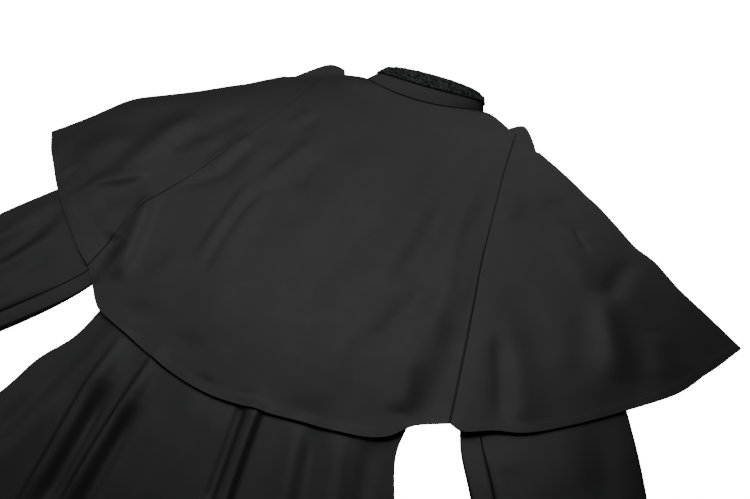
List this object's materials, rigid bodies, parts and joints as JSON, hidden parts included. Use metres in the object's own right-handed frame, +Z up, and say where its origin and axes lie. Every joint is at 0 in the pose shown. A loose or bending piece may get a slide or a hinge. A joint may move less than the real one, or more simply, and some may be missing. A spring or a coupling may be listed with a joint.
{
  "type": "cape coat dress",
  "caption": "Black crepe coat dress with a hip-length shoulder cape and a braided stand collar, lying face down.",
  "frame": {"origin": "centre of the whole lay, at the height of the surface it rests on", "axes": "+Y runs from the hem to the collar, +X to the right of someone who looks down on the back with the collar at the top, +Z up out of the surface"},
  "size_m": [0.9011, 1.0899, 0.033],
  "materials": {
    "cape_crepe": "soft satin black crepe",
    "dress_crepe": "black crepe",
    "braid": "matt looped black braid"
  },
  "bodies": {
    "root": {"cape_back": "cape_crepe", "cape_left": "cape_crepe", "cape_right": "cape_crepe", "collar_stand": "cape_crepe", "collar_braid": "braid", "bodice_back": "dress_crepe", "bodice_front_left": "dress_crepe", "bodice_front_right": "dress_crepe", "skirt_back": "dress_crepe", "skirt_front_left": "dress_crepe", "skirt_front_right": "dress_crepe", "sleeve_left_upper": "dress_crepe", "sleeve_left_under": "dress_crepe", "sleeve_right_upper": "dress_crepe", "sleeve_right_under": "dress_crepe"}
  },
  "joints": []
}
